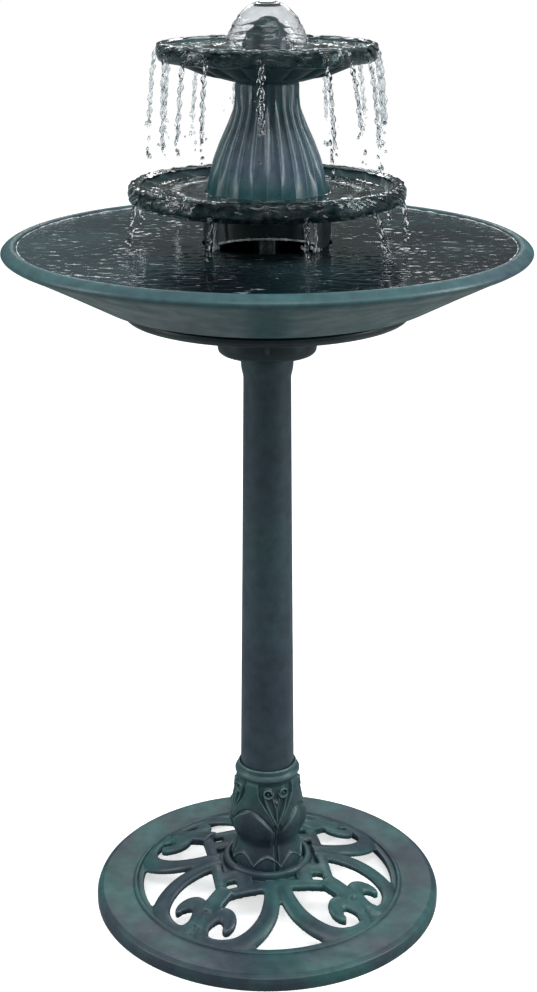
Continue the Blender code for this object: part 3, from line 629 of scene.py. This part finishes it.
def basin():
    rim = BASIN_RADIUS
    outline = [(0.0005, BASIN_LOW + 0.0040), (0.1470, BASIN_LOW + 0.0040), (0.1530, 0.7440),
               (0.1815, 0.7513), (0.2660, 0.7960), (0.2690, 0.8070), (0.2710, 0.8112),
               (0.2745, 0.8124), (0.2800, 0.8100), (0.2850, 0.8065), (rim, 0.8035), (0.2845, 0.8003),
               (0.2780, 0.7965), (0.2700, 0.7930), (0.2300, 0.7725), (0.1830, 0.7475),
               (0.1560, 0.7400), (0.1505, BASIN_LOW), (0.0005, BASIN_LOW)]
    item = turned("basin", outline, 320, 0.0030, 0.005)
    return finish(item, BASIN, "pedestal", "patina_resin", "basin_bowl")


# ---------------------------------------------------------------- tower
SCALLOPS = 22
FLUTES = 26


def ribs_inside(count, start, end, depth, swirl):
    """Rule that raises curved ribs on a dish's inner face and leaves its lip smooth."""
    def move(radius, azimuth, height):
        turn = count * (azimuth + swirl * (end - radius) / end)
        ridge = 1.0 - np.abs(np.sin(turn / 2)) ** 0.7
        inner = (ramp(radius, start, start + 0.25 * (end - start))
                 * ramp(radius, end, 0.85 * end + 0.15 * start))
        wave = np.cos(count * azimuth) * ramp(radius, 0.9 * end, end)
        return radius + 0.0005 * wave, height + depth * inner * (ridge - 0.4)

    return move


def lower_dish():
    outline = [(0.0450, LOWER_LOW + 0.0035), (0.0720, LOWER_LOW + 0.0035), (0.1000, 0.8500),
               (0.1200, 0.8575), (0.1310, 0.8655), (0.1370, 0.8712), (0.1405, 0.8722),
               (0.1440, 0.8700), (0.1455, 0.8655), (0.1458, 0.8600), (0.1440, 0.8552),
               (0.1400, 0.8556), (0.1340, 0.8560), (0.0900, 0.8445), (0.0720, LOWER_LOW),
               (0.0450, LOWER_LOW)]
    item = turned("lower_basin_dish", outline, 704, 0.0020, 0.0025,
                  ribs_inside(SCALLOPS, 0.074, 0.142, 0.0046, 1.6))
    return finish(item, DISHES, "tower", "patina_resin", "lower_dish")


def fluted_column():
    def flutes(radius, azimuth, height):
        outer = radius > 0.0325
        depth = 0.0032 * ramp(height, 0.850, 0.866) * (0.15 + 0.85 * ramp(height, 0.972, 0.930))
        depth = depth * (0.40 + 0.60 * ramp(height, 0.872, 0.896))
        wave = np.abs(np.sin(FLUTES / 2 * azimuth)) ** 0.8
        return radius - np.where(outer, depth * wave, 0.0), height

    outline = [(0.0340, FLUTE_HIGH), (0.0340, 0.9640), (0.0352, 0.9520), (0.0421, 0.9347),
               (0.0509, 0.9155), (0.0582, 0.8967), (0.0638, 0.8735), (0.0664, 0.8575),
               (0.0675, FLUTE_LOW), (0.0300, FLUTE_LOW), (0.0300, 0.8500), (0.0250, 0.9560),
               (0.0250, FLUTE_HIGH)]
    item = turned("fluted_shaft", outline, 624, 0.0040, 0.003, flutes)
    return finish(item, TOWER, "tower", "patina_resin", "fluted_column")


def upper_dish():
    outline = [(0.0380, UPPER_LOW + 0.0035), (0.0680, 0.9912), (0.0850, 0.9975), (0.0960, 1.0045),
               (0.1035, 1.0135), (0.1070, 1.0162), (0.1105, 1.0150), (0.1128, 1.0110),
               (0.1130, 1.0050), (0.1115, 1.0003), (0.1070, 1.0020), (0.0870, 0.9945),
               (0.0700, 0.9875), (0.0400, UPPER_LOW), (0.0072, UPPER_LOW), (0.0072, UPPER_LOW + 0.0035)]
    item = turned("upper_basin_dish", outline, 616, 0.0018, 0.002,
                  ribs_inside(SCALLOPS, 0.052, 0.110, 0.0026, 0.0))
    return finish(item, DISHES, "upper_tier", "patina_resin", "upper_dish")


def dome_cap():
    centre, wide, high, wall = 0.9950, edge("dome_cap"), CAP_HIGH - 0.9950, 0.0025
    outline = []
    for angle in np.radians(np.linspace(81.5, 0.0, 14)):
        outline.append((wide * math.cos(angle), centre + high * math.sin(angle)))
    outline += [(wide, CAP_LOW), (wide - wall, CAP_LOW)]
    for angle in np.radians(np.linspace(0.0, 81.0, 14)):
        outline.append(((wide - wall) * math.cos(angle), centre + (high - wall) * math.sin(angle)))
    item = turned("dome", outline, 160, 0.0010, 0.003)
    return finish(item, DISHES, "dome", "patina_resin", "dome_cap")


def tower_foot():
    """Hollow foot on three legs, with the same wide arches between them as the CAD part."""
    low, high = bottom("tower_foot"), top("tower_foot")
    outline = [(0.0690, high), (FOOT_RADIUS, low), (FOOT_RADIUS - 0.0030, low), (0.0660, high - 0.0030),
               (0.0560, high - 0.0030), (0.0560, high)]
    item = turned("foot_of_tower", outline, 240, 0.0006, 0.004)
    arch = [(-ARCH_HALF, low - 0.0030), (ARCH_HALF, low - 0.0030)]
    arch += [(ARCH_HALF * math.cos(t), ARCH_SPRING + ARCH_RISE * math.sin(t))
             for t in np.linspace(0, math.pi, 25)]
    for i in range(FOOT_ARCHES):
        turn = math.tau * i / FOOT_ARCHES
        points = []
        for depth in (0.0, -0.1):
            for x, z in arch:
                points.append((x * math.cos(turn) - depth * math.sin(turn),
                               x * math.sin(turn) + depth * math.cos(turn), z))
        cutter = build_mesh("arch_cutter", points, ring_faces(2, len(arch), False))
        cut = item.modifiers.new("arch", "BOOLEAN")
        cut.operation = "DIFFERENCE"
        cut.solver = "EXACT"
        cut.object = cutter
        bake_modifiers(item)
        bpy.data.objects.remove(cutter)
    return finish(item, SHADED_UNDERSIDE, "tower", "patina_resin", "tower_foot")


# ---------------------------------------------------------------- water
def chop(x, y, seed, waves, shortest, longest, height):
    """Sum of random plane waves with the given range of wavelengths and overall height."""
    draw = np.random.RandomState(seed)
    total = np.zeros_like(x)
    for _ in range(waves):
        length = shortest * (longest / shortest) ** draw.rand()
        heading = draw.rand() * math.tau
        pace = math.tau / length
        phase = draw.rand() * math.tau
        total += length * np.sin(pace * (x * math.cos(heading) + y * math.sin(heading)) + phase)
    return height * total / (longest * math.sqrt(waves / 2))


def drops_rings(x, y, places, length, reach, height):
    """Rings that spread from each place where a stream lands."""
    total = np.zeros_like(x)
    for px, py in places:
        away = np.hypot(x - px, y - py)
        total += height * np.cos(math.tau * away / length) * np.exp(-away / reach)
    return total


def water_sheet(name, inner, outer, surface, rows, columns, thick, wave, meniscus=0.0008):
    """Annular sheet of water whose top is shaped by wave(x, y)."""
    radii = np.concatenate([np.linspace(inner, outer, rows), [outer, inner]])
    radius, azimuth = np.meshgrid(radii, np.arange(columns) * math.tau / columns, indexing="ij")
    x, y = radius * np.sin(azimuth), -radius * np.cos(azimuth)
    height = surface + wave(x, y)
    height += meniscus * (np.exp((inner - radius) / 0.002) + np.exp((radius - outer) / 0.002))
    height[-2:] = surface - thick
    grid = np.stack([x, y, height], -1)
    return build_mesh(name, grid.reshape(-1, 3), ring_faces(len(radii), columns, True))


def at_azimuth(degrees, radius):
    turn = math.radians(degrees)
    return radius * math.sin(turn), -radius * math.cos(turn)


# azimuth in degrees, reach outwards at the end of the fall, length of the fall
UPPER_STREAMS = [(-88, 0.012, 0.112), (-64, 0.006, 0.120), (-45, 0.014, 0.098), (-31, 0.014, 0.108),
                 (29, 0.026, 0.108), (43, 0.028, 0.104), (60, 0.020, 0.116), (80, 0.012, 0.090),
                 (103, 0.014, 0.110), (126, 0.020, 0.096), (149, 0.016, 0.114), (171, 0.018, 0.102),
                 (-163, 0.014, 0.108), (-141, 0.020, 0.112), (-117, 0.012, 0.098)]
LOWER_STREAMS = [(-112, 0.004, 0.040), (-68, 0.006, 0.042), (-22, 0.010, 0.044), (15, 0.010, 0.044),
                 (47, 0.016, 0.044), (74, 0.006, 0.042), (118, 0.008, 0.040), (152, 0.010, 0.042),
                 (-165, 0.008, 0.042), (-138, 0.008, 0.040)]


def add_tube(points, faces, centres, radii, sides=8):
    """Closed tube along centres with a radius for each of them."""
    along = np.gradient(centres, axis=0)
    first = len(points)
    for here, way, radius in zip(centres, along, radii):
        way = Vector(way).normalized()
        one = way.cross(Vector((0.3, 1.0, 0.1))).normalized()
        two = way.cross(one)
        for k in range(sides):
            turn = math.tau * k / sides
            points.append(tuple(Vector(here) + radius * (math.cos(turn) * one + math.sin(turn) * two)))
    faces += ring_faces(len(centres), sides, False, first)


def add_drop(points, faces, centre, radius, draw):
    """Falling drop: a small rounded body, longer than wide, pinched at its tail."""
    first = len(points)
    sides, rows = 10, 7
    long = draw.uniform(1.1, 1.9)
    lean = draw.uniform(-0.25, 0.25)
    for j in range(rows):
        t = math.pi * (j + 0.5) / rows
        wide = radius * math.sin(t) * (1.0 - 0.22 * math.cos(t))
        up = radius * long * math.cos(t)
        for k in range(sides):
            turn = math.tau * k / sides
            points.append((centre[0] + wide * math.cos(turn) + lean * up,
                           centre[1] + wide * math.sin(turn), centre[2] + up))
    faces += ring_faces(rows, sides, False, first)


def add_stream(points, faces, azimuth, start, reach, fall, draw, rope=0.0021, unbroken=0.80):
    """Rope of water that leaves a lip, twists, thins and breaks into drops."""
    turn = math.radians(azimuth)
    out = np.array([math.sin(turn), -math.cos(turn), 0.0])
    side = np.array([math.cos(turn), math.sin(turn), 0.0])

    def path(t):
        return out * (start[0] + reach * math.sqrt(t)) + np.array([0.0, 0.0, start[1] - fall * t])

    length = unbroken * draw.uniform(0.85, 1.1)
    steps = int(fall * length / 0.0012)
    pace = draw.uniform(0.024, 0.032)
    phase = draw.uniform(0.0, math.tau)
    for strand in (0.0, math.pi):
        centres, radii = [], []
        for i in range(steps + 1):
            t = length * i / steps
            swing = phase + strand + math.tau * fall * t / pace
            spread = rope * (0.35 + 0.65 * abs(math.sin(3.1 * swing / 2 + phase))) * (1.0 - 0.35 * t)
            centre = path(t) + spread * (math.cos(swing) * side + math.sin(swing) * out)
            centres.append(centre)
            beads = 0.5 + 0.5 * math.sin(2.3 * swing + strand)
            taper = min(1.0, 6.0 * (1.0 - i / steps) + 0.15)
            radii.append(rope * (0.34 + 0.50 * beads) * taper)
        add_tube(points, faces, np.array(centres), radii)
    for _ in range(draw.randint(5, 8)):
        t = draw.uniform(length * 0.9, 1.0)
        centre = path(t) + side * draw.gauss(0.0, 0.0020) + out * draw.gauss(0.0, 0.0020)
        add_drop(points, faces, centre, draw.uniform(0.0007, 0.0019), draw)
    for _ in range(draw.randint(1, 3)):
        t = draw.uniform(0.2, 1.0)
        centre = path(t) + side * draw.gauss(0.0, 0.0060)
        add_drop(points, faces, centre, draw.uniform(0.0004, 0.0009), draw)


def add_rim_film(points, faces, radius, height, columns, seed, thick):
    """Uneven bead of water that runs round a dish's lip."""
    draw = np.random.RandomState(seed)
    turn = np.arange(columns) * math.tau / columns
    swell = np.zeros(columns)
    for k in range(14):
        swell += np.sin(draw.randint(7, 90) * turn + draw.rand() * math.tau)
    swell = thick * (0.25 + np.clip(0.5 + swell / 6.0, 0.0, 1.2))
    first = len(points)
    sides = 8
    for t, bead in zip(turn, swell):
        for k in range(sides):
            a = math.tau * k / sides
            r = radius + bead * math.cos(a)
            points.append((r * math.sin(t), -r * math.cos(t), height + bead * math.sin(a)))
    faces += ring_faces(columns, sides, True, first)


def basin_water():
    places = [at_azimuth(a, edge("lower_dish") + reach) for a, reach, _ in LOWER_STREAMS]

    def wave(x, y):
        return (chop(x, y, 3, 40, 0.008, 0.026, 0.00022)
                + drops_rings(x, y, places, 0.009, 0.022, 0.00040))

    item = water_sheet("basin_water", FOOT_RADIUS + 0.0008, 0.2694, BASIN_LEVEL, 120, 460, 0.003, wave)
    return finish(item, POOL, "pedestal")


def shore_foam():
    points, faces = [], []
    add_rim_film(points, faces, 0.2688, BASIN_LEVEL + 0.0006, 1400, 11, 0.0007)
    return finish(build_mesh("basin_shore_foam", points, faces), FOAM_AND_GLINT, "pedestal")


def lower_water():
    places = [at_azimuth(a, edge("upper_dish") + reach) for a, reach, _ in UPPER_STREAMS]

    def wave(x, y):
        return (chop(x, y, 5, 30, 0.007, 0.020, 0.00022)
                + drops_rings(x, y, places, 0.008, 0.016, 0.00035))

    item = water_sheet("lower_dish_water", edge("fluted_column") - 0.0004, 0.1265, LOWER_LEVEL, 50, 460,
                       0.002, wave)
    return finish(item, SHALLOW, "tower")


def upper_water():
    def wave(x, y):
        away = np.hypot(x, y)
        rings = 0.0003 * np.sin(math.tau * away / 0.0085) * np.exp((0.045 - away) / 0.030)
        return rings + chop(x, y, 9, 24, 0.006, 0.018, 0.00020)

    item = water_sheet("upper_dish_water", 0.0400, 0.1015, UPPER_LEVEL, 60, 400, 0.002, wave)
    return finish(item, SHALLOW, "upper_tier")


def streams():
    draw = random.Random(21)
    points, faces = [], []
    lip = (edge("upper_dish") + 0.0005, UPPER_HIGH - 0.0070)
    for azimuth, reach, fall in UPPER_STREAMS:
        add_stream(points, faces, azimuth, lip, reach, fall, draw)
    add_stream(points, faces, -3, lip, 0.004, 0.100, draw, 0.0030, 0.85)
    add_rim_film(points, faces, edge("upper_dish") - 0.0030, UPPER_HIGH - 0.0030, 900, 31, 0.0011)
    finish(build_mesh("upper_streams", points, faces), FALLS, "upper_tier")

    points, faces = [], []
    lip = (edge("lower_dish") + 0.0005, LOWER_HIGH - 0.0130)
    for azimuth, reach, fall in LOWER_STREAMS:
        add_stream(points, faces, azimuth, lip, reach, fall, draw, 0.0024, 0.95)
    add_rim_film(points, faces, edge("lower_dish") - 0.0035, LOWER_HIGH - 0.0030, 1200, 37, 0.0014)
    finish(build_mesh("lower_streams", points, faces), FALLS, "tower")


BELL_SIDE = [(0.0010, 1.0600), (0.0072, 1.0597), (0.0140, 1.0576), (0.0225, 1.0525),
             (0.0300, 1.0450), (0.0355, 1.0365), (0.0395, 1.0280), (0.0425, 1.0190), (0.0450, 1.0090)]


def water_bell():
    """Thin sheet of water that domes out of the nozzle and runs down into the upper dish."""
    outside = spline(BELL_SIDE, 0.0008)
    inside = outside[::-1].copy()
    inside[:, 0] = np.maximum(0.0005, inside[:, 0] - 0.0010)
    inside[:, 1] -= 0.0009
    path = np.concatenate([outside, inside])
    columns = 260
    radius, azimuth = np.meshgrid(path[:, 0], np.arange(columns) * math.tau / columns, indexing="ij")
    height = np.repeat(path[:, 1:2], columns, axis=1)
    x, y = radius * np.sin(azimuth), -radius * np.cos(azimuth)
    rings = chop(0.45 * x, 1.5 * height + 0.3 * y, 17, 34, 0.005, 0.014, 0.00090)
    rings = rings * ramp(height, 1.0500, 1.0330)
    lens = 0.0007 * bump(radius, 0.0125, 0.0030) * ramp(height, 1.050, 1.055)
    shared = np.arange(len(path))[:, None] < len(outside)
    ripple = rings * np.where(shared, 1.0, 0.55)
    radius = radius + ripple
    grid = np.stack([radius * np.sin(azimuth), -radius * np.cos(azimuth),
                     height + 0.4 * ripple - np.where(shared, lens, -lens)], -1)
    item = build_mesh("water_bell", grid.reshape(-1, 3), ring_faces(len(path), columns, True))
    finish(item, BELL, "dome")


def bell_shade_ring():
    """Painted shade: dark ring under the bell's crown, standing for the shaded opening of the nozzle seen
    through the water.
    """
    outline = [(0.0085, 1.0548), (0.0110, 1.0560), (0.0140, 1.0556), (0.0150, 1.0544),
               (0.0135, 1.0534), (0.0105, 1.0536)]
    item = turned("bell_shade_ring", outline, 96, 0.0010, 0.001)
    return finish(item, SHADE_RING, "dome")


def dish_skirt(name, side, columns, seed, body):
    """Rippled sheet of water that hangs over a dish's lip; side runs from inside to below."""
    outside = spline(side, 0.0010)
    inside = outside[::-1].copy()
    inside[:, 0] -= 0.0008
    inside[:, 1] -= 0.0004
    path = np.concatenate([outside, inside])
    radius, azimuth = np.meshgrid(path[:, 0], np.arange(columns) * math.tau / columns, indexing="ij")
    height = np.repeat(path[:, 1:2], columns, axis=1)
    x, y = radius * np.sin(azimuth), -radius * np.cos(azimuth)
    shape = chop(0.6 * x + 0.2 * height, 0.6 * y + 1.4 * height, seed, 40, 0.005, 0.016, 0.0008)
    outer = np.arange(len(path))[:, None] < len(outside)
    shape = np.where(outer, shape + 0.0004, 0.0)
    radius = radius + shape
    grid = np.stack([radius * np.sin(azimuth), -radius * np.cos(azimuth), height + 0.6 * shape], -1)
    item = build_mesh(name, grid.reshape(-1, 3), ring_faces(len(path), columns, True))
    return finish(item, SHADED_SKIRT, body)


def skirts():
    r, h = edge("lower_dish"), LOWER_HIGH
    side = [(r - 0.0120, h - 0.0010), (r - 0.0060, h + 0.0012), (r - 0.0010, h - 0.0010),
            (r + 0.0012, h - 0.0070), (r + 0.0010, h - 0.0140), (r - 0.0010, h - 0.0190)]
    dish_skirt("lower_dish_skirt", side, 900, 41, "tower")
    r, h = edge("upper_dish"), UPPER_HIGH
    side = [(r - 0.0085, h - 0.0002), (r - 0.0050, h + 0.0012), (r - 0.0006, h - 0.0012),
            (r + 0.0012, h - 0.0060), (r + 0.0010, h - 0.0120), (r - 0.0010, h - 0.0165)]
    dish_skirt("upper_dish_skirt", side, 760, 43, "upper_tier")


def foot_falls_and_glints():
    """Water that slips over the front arch of the tower's foot and falls in three strands, drawn in white
    as painted glints.
    """
    draw = random.Random(5)
    points, faces = [], []
    count = 60
    turns = np.linspace(-0.80, 0.80, count)
    rise = ARCH_SPRING + ARCH_RISE - 0.0090 * (turns / 0.80) ** 2
    out = FOOT_RADIUS + 0.0010
    centres = np.stack([out * np.sin(turns), -out * np.cos(turns), rise], -1)
    # painted highlight: white glint line along the top of the front arch
    add_tube(points, faces, centres, [0.0008 + 0.0009 * draw.random() for _ in range(count)])
    for degrees in (-44, 31, 40):
        add_stream(points, faces, degrees, (FOOT_RADIUS + 0.0060, 0.8440), 0.004, 0.034, draw, 0.0016, 0.95)
    return finish(build_mesh("foot_falls_and_glints", points, faces), FOAM_AND_GLINT, "tower")


# ---------------------------------------------------------------- build
base_ring()
base_scrollwork()
base_hub()
acanthus_collar()
column()
flange()
tray()
basin()
lower_dish()
fluted_column()
tower_foot()
upper_dish()
dome_cap()
basin_water()
shore_foam()
lower_water()
upper_water()
streams()
skirts()
foot_falls_and_glints()
water_bell()
bell_shade_ring()

LOOKS = {"patina_resin": DISHES, "pump_plastic": PUMP, "soft_rubber": RUBBER,
         "clear_vinyl": VINYL, "stainless": STEEL, "magnet": FERRITE}
SLOTS = {"nozzle": "pump_plastic", "nozzle_seal": "soft_rubber", "riser_tube": "clear_vinyl",
         "impeller": "magnet", "impeller_shaft": "stainless", "flange_gasket": "soft_rubber",
         "cable_grommet": "soft_rubber", "front_bush": "soft_rubber", "rear_bush": "soft_rubber",
         "pump_gland": "soft_rubber"}
for name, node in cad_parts.items():
    if node.hide_render:
        continue
    kind = SLOTS.get(name, "pump_plastic")
    if "screw" in name:
        kind = "stainless"
    if name.startswith("suction_cup"):
        kind = "soft_rubber"
    node.data.materials.clear()
    node.data.materials.append(LOOKS[kind])


# ---------------------------------------------------------------- stage, light and camera
def stage_floor():
    made, shader = new_material("floor_white")
    dust = tones(made, grain(made, 2.0, 3.0), (0.3, grey(0.90)), (0.7, grey(0.94)))
    rays = put(made, "ShaderNodeLightPath").outputs
    seen = put(made, "ShaderNodeMath", {0: rays["Is Camera Ray"], 1: rays["Is Transmission Ray"]},
               operation="MAXIMUM").outputs[0]
    join_up(made, shader, Base_Color=blend(made, seen, grey(0.34), dust),
            Emission_Strength=level(made, seen, 0.0, 0.62, 0.0, 1.0))
    shader.inputs["Roughness"].default_value = 0.9
    shader.inputs["Specular IOR Level"].default_value = 0.0
    shader.inputs["Emission Color"].default_value = grey(1.0)
    size = 6.0
    low = cad_low.z - 0.0002
    points = [(-size, -size, low), (size, -size, low), (size, size, low), (-size, size, low)]
    floor = build_mesh("stage_floor", points, [(0, 1, 2, 3)])
    floor.data.materials.append(made)


def area_light(name, place, aim, size, power):
    lamp = bpy.data.lights.new(name, "AREA")
    lamp.shape = "RECTANGLE"
    lamp.size, lamp.size_y = size
    lamp.energy = power
    item = bpy.data.objects.new(name, lamp)
    item.location = place
    item.rotation_euler = (Vector(aim) - Vector(place)).to_track_quat("-Z", "Y").to_euler()
    scene.collection.objects.link(item)


def studio():
    """White backdrop with soft light from above.

    Rays that leave water see it white straight ahead and to the sides and dark between, which
    draws the falling water's edges.
    """
    world = bpy.data.worlds.new("studio")
    world.use_nodes = True
    scene.world = world
    nodes, links = world.node_tree.nodes, world.node_tree.links

    def maths(operation, *sources):
        item = nodes.new("ShaderNodeMath")
        item.operation = operation
        for source, socket in zip(sources, item.inputs):
            links.new(source, socket)
        return item.outputs[0]

    def span(source, from_low, from_high, low, high):
        item = nodes.new("ShaderNodeMapRange")
        for value, socket in zip((from_low, from_high, low, high), item.inputs[1:5]):
            socket.default_value = value
        links.new(source, item.inputs["Value"])
        return item.outputs[0]

    soft = nodes["Background"]
    soft.inputs["Color"].default_value = (0.86, 0.98, 1.0, 1.0)
    place = nodes.new("ShaderNodeTexCoord")
    split = nodes.new("ShaderNodeSeparateXYZ")
    links.new(place.outputs["Generated"], split.inputs[0])
    links.new(span(split.outputs["Z"], 0.10, 0.90, 0.09, 0.85), soft.inputs["Strength"])
    square_on = maths("MAXIMUM", maths("ABSOLUTE", split.outputs["X"]),
                      maths("ABSOLUTE", split.outputs["Y"]))
    rays = nodes.new("ShaderNodeLightPath")
    white = nodes.new("ShaderNodeBackground")
    white.inputs["Color"].default_value = grey(1.0)
    links.new(maths("MAXIMUM", rays.outputs["Is Camera Ray"], span(square_on, 0.80, 0.93, 0.10, 1.0)),
              white.inputs["Strength"])
    mix = nodes.new("ShaderNodeMixShader")
    links.new(maths("MAXIMUM", rays.outputs["Is Camera Ray"], rays.outputs["Is Transmission Ray"]),
              mix.inputs[0])
    links.new(soft.outputs[0], mix.inputs[1])
    links.new(white.outputs[0], mix.inputs[2])
    links.new(mix.outputs[0], nodes["World Output"].inputs["Surface"])
    area_light("left_box", (-1.9, -0.3, 1.3), (0, 0, 0.55), (0.4, 1.8), 16)
    area_light("right_box", (1.8, -0.3, 1.4), (0, 0, 0.55), (0.4, 1.8), 26)
    area_light("front_top", (0.3, -1.4, 2.6), (0, 0, 0.5), (1.6, 0.8), 20)
    area_light("back_top", (0.0, 2.2, 1.9), (0, 0, 0.8), (1.8, 0.25), 10)


def camera():
    lens = bpy.data.cameras.new("camera")
    lens.lens = 60.64
    eye = bpy.data.objects.new("camera", lens)
    eye.location = (0.0014, -1.797, 1.149)
    eye.rotation_euler = (math.radians(70.63), 0.0, 0.0)
    scene.collection.objects.link(eye)
    scene.camera = eye


stage_floor()
studio()
camera()
scene.view_settings.view_transform = "Standard"
